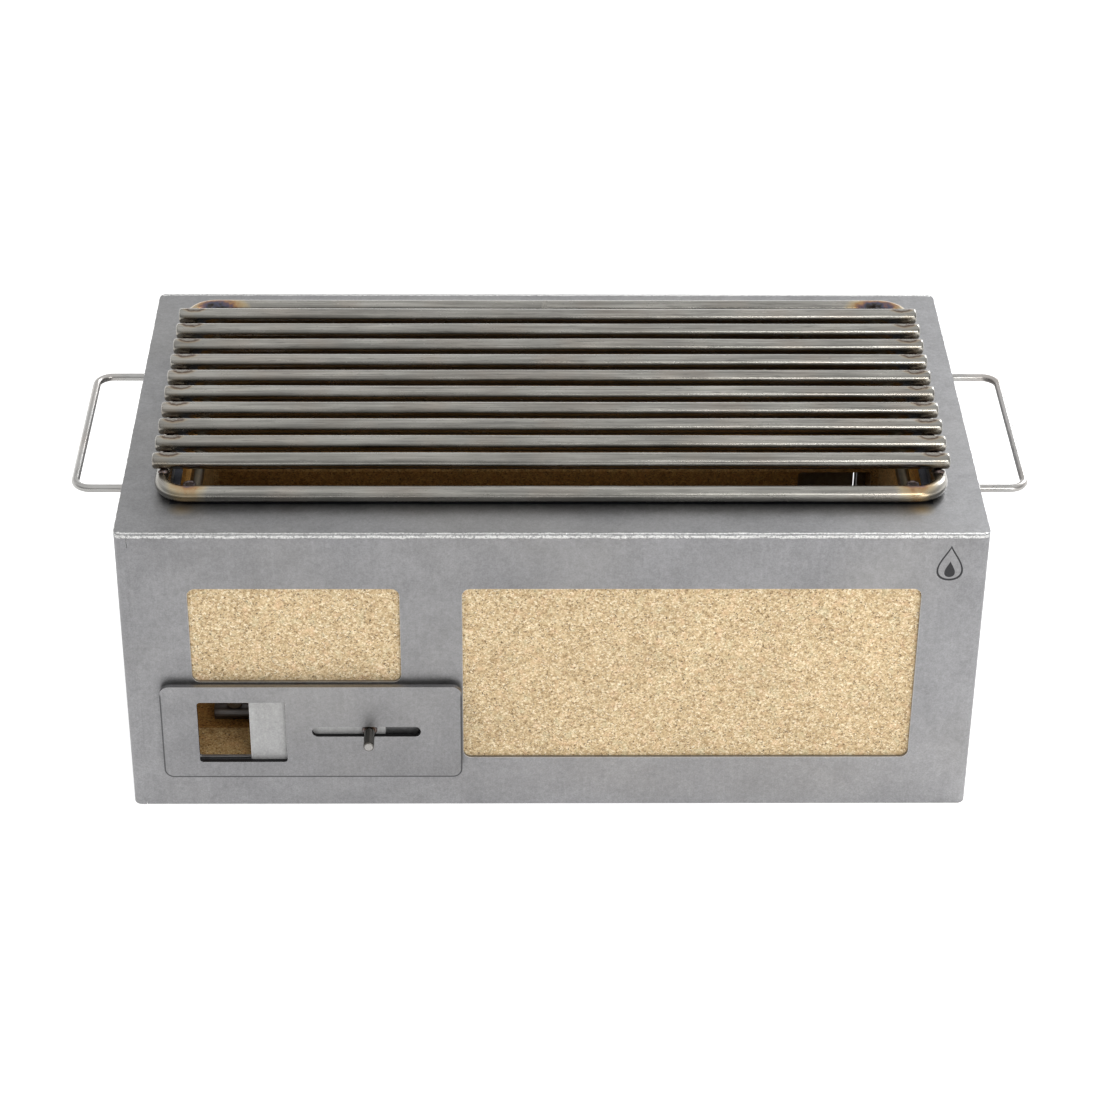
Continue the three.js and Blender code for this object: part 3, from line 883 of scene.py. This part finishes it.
def make_handle(side, material, cut, bead):
    """A bent wire handle and the small welds at its feet."""
    node = "handle_" + side
    low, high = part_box(node)
    radius = (high.z - low.z) / 2
    z = (high.z + low.z) / 2
    outward = 1 if side == "right" else -1
    foot, grip = (low.x, high.x - radius) if side == "right" else (high.x, low.x + radius)
    front, rear = low.y + radius, high.y - radius
    corners = [Vector(p) for p in ((foot, front, z), (grip, front, z), (grip, rear, z), (foot, rear, z))]
    bm = bmesh.new()
    sweep_rod(bm, bent_line(corners, HANDLE_BEND), UP, radius, seed=outward * 2.3, chamfer=0.2 * MM)
    piece = add_piece(node + "_wire", bm, [material, cut])
    belongs(piece, body_of(node), "handle_wire", node)
    bm = bmesh.new()
    for y in (front, rear):
        place = Vector((foot + outward * 0.4 * MM, y, z))
        add_ring_bead(bm, place, EAST, radius + 0.5 * MM, 1.1 * MM, y * 90)
    piece = add_piece(node + "_foot_welds", bm, [bead], 80)
    belongs(piece, body_of(node), "handle_wire")


# ---------------------------------------------------------------- vents

COVER_RIM = 0.8 * MM
PIN_ROOT = -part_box("front_damper_pin")[1].y


def make_vent(prefix, sheet, edge, damper, pin, cut, bead, wall, shade):
    cover = rolled_steel(prefix + "_cover_steel", (0.247, 0.246, 0.252), plate=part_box(prefix + "_vent_cover"))
    for part, steel in (("_vent_cover", cover), ("_guide_upper", sheet), ("_guide_lower", sheet)):
        refined_sheet(prefix + part, "casing_steel", [steel, wall, shade, edge], COVER_RIM, walls=1)
    refined_sheet(prefix + "_damper_plate", "damper_steel", [damper, edge], 0.25 * MM)
    node = prefix + "_damper_pin"
    straight_rod(node, "damper_steel", [pin, cut], 0.0, 4.2 if prefix == "front" else 8.8, 0.8 * MM)
    low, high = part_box(node)
    out = -1 if prefix == "front" else 1
    root = Vector(((low.x + high.x) / 2, out * PIN_ROOT, (low.z + high.z) / 2))
    bm = bmesh.new()
    radius = (high.z - low.z) / 2
    add_ring_bead(bm, root + NORTH * out * 0.7 * MM, NORTH, radius + 0.4 * MM, 1.0 * MM, out * 5.5)
    belongs(add_piece(node + "_weld", bm, [bead], 80), body_of(node), "damper_steel")
    cover_low, cover_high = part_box(prefix + "_vent_cover")
    tacks = bmesh.new()
    behind = cover_high.y if out < 0 else cover_low.y
    guide_middle = behind - out * 1.4 * MM
    middle_x = out * 153 * MM
    for z, turn in ((cover_high.z - 2.2 * MM, 1), (cover_low.z + 2.2 * MM, -1)):
        for x, big in ((middle_x, 1.0), (middle_x - 62 * MM, 0.6), (middle_x + 66 * MM, 0.6)):
            sizes = Vector((3.2, 1.5, 1.2)) * MM * big
            add_bead(tacks, Vector((x, guide_middle, z)), sizes, x * 100 + turn)
    piece = add_piece(prefix + "_cover_tacks", tacks, [bead], 80)
    belongs(piece, body_of(prefix + "_vent_cover"), "casing_steel")


# ---------------------------------------------------------------- cooking grate

GRATE_BEND = 15 * MM
RUNNER_BEND = 8 * MM
BAR_WOBBLE = 0.25 * MM
BAR_NODES = sorted(name for name in NODES if name.startswith("grate_bar"))


def rod_radius(node):
    low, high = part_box(node)
    return min(high - low) / 2


def runner_tips():
    """The upper ends of the right hanging rod, front then rear. The left one mirrors them."""
    low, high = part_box("grate_runner_right")
    radius = rod_radius("grate_runner_right")
    x = (low.x + high.x) / 2
    return [Vector((x, low.y + radius, high.z)), Vector((x, high.y - radius, high.z))]


RUNNER_TIPS = runner_tips()
SIDE_ROD_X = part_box("grate_frame")[1].x - rod_radius("grate_frame")
# The hot spot on a bar: its place round the section (forward, up), and its distance from the bar's middle.
BAR_HEAT_SPOT = (-1.4 * MM, 4.8 * MM)
BAR_HEAT_REACH = 231 * MM


def make_grate_frame(material, cut):
    low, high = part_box("grate_frame")
    radius = rod_radius("grate_frame")
    z = (low.z + high.z) / 2
    left, right, front, rear = low.x + radius, high.x - radius, low.y + radius, high.y - radius
    corners = [Vector((x, y, z)) for x, y in
               ((0, rear), (right, rear), (right, front), (left, front), (left, rear), (0, rear))]
    bm = bmesh.new()
    sweep_rod(bm, bent_line(corners, GRATE_BEND)[:-1], UP, radius, closed=True, seed=1.7)
    piece = add_piece("grate_frame_rod", bm, [material, cut])
    belongs(piece, body_of("grate_frame"), "grate_rod", "grate_frame")


def make_runner(side, material, cut):
    node = "grate_runner_" + side
    low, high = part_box(node)
    radius = rod_radius(node)
    x = (low.x + high.x) / 2
    front, rear, run, top = low.y + radius, high.y - radius, low.z + radius, high.z
    corners = [Vector(p) for p in ((x, front, top), (x, front, run), (x, rear, run), (x, rear, top))]
    bm = bmesh.new()
    sweep_rod(bm, bent_line(corners, RUNNER_BEND), EAST, radius, seed=x * 30, chamfer=0.5 * MM)
    piece = add_piece(node + "_rod", bm, [material, cut])
    belongs(piece, body_of(node), "grate_rod", node)


def make_grate_welds(material, crater):
    """Beads beside each cross bar on the side rods, and craters on the hanging rods' ends."""
    bm, rings = bmesh.new(), bmesh.new()
    top_of_side_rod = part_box("grate_frame")[1].z
    for index, node in enumerate(BAR_NODES):
        low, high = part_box(node)
        y = (low.y + high.y) / 2
        for side in (-1, 1):
            for way in (-1, 1):
                seed = index * 4 + side * 1.3 + way * 0.7
                shift = 0.8 * MM * noise.noise((seed, 0.4, 0.2))
                place = Vector((side * SIDE_ROD_X + shift, y + way * 4.0 * MM, top_of_side_rod - 0.5 * MM))
                sizes = Vector((3.3, 1.9, 1.7)) * MM * (1 + 0.25 * noise.noise((seed, 1, 2)))
                add_bead(bm, place, sizes, seed)
    for tip in RUNNER_TIPS:
        for side in (-1, 1):
            seed = side * 3.3 + tip.y * 40
            place = Vector((side * tip.x, tip.y, tip.z))
            add_ring_bead(rings, place, UP, 3.1 * MM, 0.9 * MM, seed)
            toward = -1 if tip.y < 0 else 1
            for k in (-1, 0, 1):
                spot = place + Vector((k * 3.4 * MM, toward * (4.0 - 0.7 * abs(k)) * MM, -0.6 * MM))
                add_bead(bm, spot, Vector((2.3, 1.7, 1.5)) * MM, seed + k)
    for name, made, finish in (("grate_weld_beads", bm, material), ("grate_weld_craters", rings, crater)):
        belongs(add_piece(name, made, [finish], 80), body_of("grate_frame"), "grate_rod")


def make_cooking_grate(cut, bead):
    grey = (0.255, 0.248, 0.228)
    frame_rod = drawn_rod("grate_frame_rod", grey, 0.24, 0.26, runner_heat)
    bar_rod = drawn_rod("grate_bar_rod", grey, 0.24, 0.25, bar_heat, RING_COLOURS)
    hung_rod = drawn_rod("grate_runner_rod", (0.085, 0.085, 0.092), 0.2, 0.36, tip_heat)
    # The rings' near-white light tone is a painted highlight for the bright arcs on their rims; the dark tone
    # is the weld's own.
    crater = weld_bead("crater_rim_painted_highlight", (0.75, 0.68, 0.68), (0.16, 0.13, 0.14))
    make_grate_frame(frame_rod, cut)
    for index, node in enumerate(BAR_NODES):
        straight_rod(node, "grate_rod", [bar_rod, cut], BAR_WOBBLE, 1.9 * index + 0.6, 1.7 * MM)
    for side in ("left", "right"):
        make_runner(side, hung_rod, bead)
    make_grate_welds(bead, crater)


# ---------------------------------------------------------------- charcoal grate

COAL_NODES = sorted(name for name in NODES if name.startswith("coal_grate"))


def make_coal_grate(bead):
    rod = drawn_rod("coal_grate_rod", (0.115, 0.108, 0.105), 0.25, 0.42)
    end = bare_edge("coal_rod_end", (0.16, 0.15, 0.14))
    for index, node in enumerate(COAL_NODES):
        straight_rod(node, "coal_grate_rod", [rod, end], 0.15 * MM, 2.3 * index + 0.2, 0.4 * MM)
    bm = bmesh.new()
    supports = [node for node in COAL_NODES if "support" in node]
    bars = [node for node in COAL_NODES if "bar" in node]
    for bar in bars:
        x = sum(corner.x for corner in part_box(bar)) / 2
        for support in supports:
            low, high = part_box(support)
            y = (low.y + high.y) / 2
            seed = x * 37 + y * 91
            side = 1 if noise.noise((seed, 0, 0)) > 0 else -1
            place = Vector((x + side * 3.0 * MM, y, high.z - 0.3 * MM))
            add_bead(bm, place, Vector((1.5, 2.4, 1.3)) * MM, seed, detail=2)
    piece = add_piece("coal_grate_weld_beads", bm, [bead], 80)
    belongs(piece, body_of(supports[0]), "coal_grate_rod")


# ---------------------------------------------------------------- scene

def make_floor():
    bm = bmesh.new()
    bmesh.ops.create_grid(bm, x_segments=8, y_segments=8, size=FLOOR_SIZE / 2)
    floor = add_piece("floor", bm, [floor_paint()])
    floor.location.z = -0.05 * MM


def make_object():
    edge = bare_edge("sheet_edge", (0.58, 0.58, 0.58))
    cut = bare_edge("sawn_end", (0.55, 0.54, 0.51))
    bead = weld_bead("weld_bead")
    sheet = make_casing(edge, ground_weld("ground_weld"), etched_mark("etched_mark"))
    make_lining()
    wire = drawn_rod("handle_wire", (0.34, 0.335, 0.325), 0.16, 0.28)
    for side in ("left", "right"):
        make_handle(side, wire, cut, bead)
    damper = rolled_steel("damper_steel", (0.37, 0.37, 0.37), metallic=0.55, rough=0.58)
    pin = drawn_rod("damper_pin_steel", (0.13, 0.125, 0.115), 0.35, 0.25, root_heat)
    pin_end = bare_edge("pin_end", (0.34, 0.33, 0.32))
    wall = cut_wall("laser_cut_wall")
    # A dark rim for the vent covers' bottoms and sides: a painted shade line.
    shade = bare_edge("painted_shade_edge", (0.05, 0.05, 0.052))
    for prefix in ("front", "rear"):
        make_vent(prefix, sheet, edge, damper, pin, pin_end, bead, wall, shade)
    make_cooking_grate(cut, bead)
    make_coal_grate(bead)


bpy.context.scene.view_settings.view_transform = "Standard"
make_camera()
make_sky()
for light_name, settings in LIGHTS.items():
    make_light(light_name, *settings)
make_floor()
make_object()
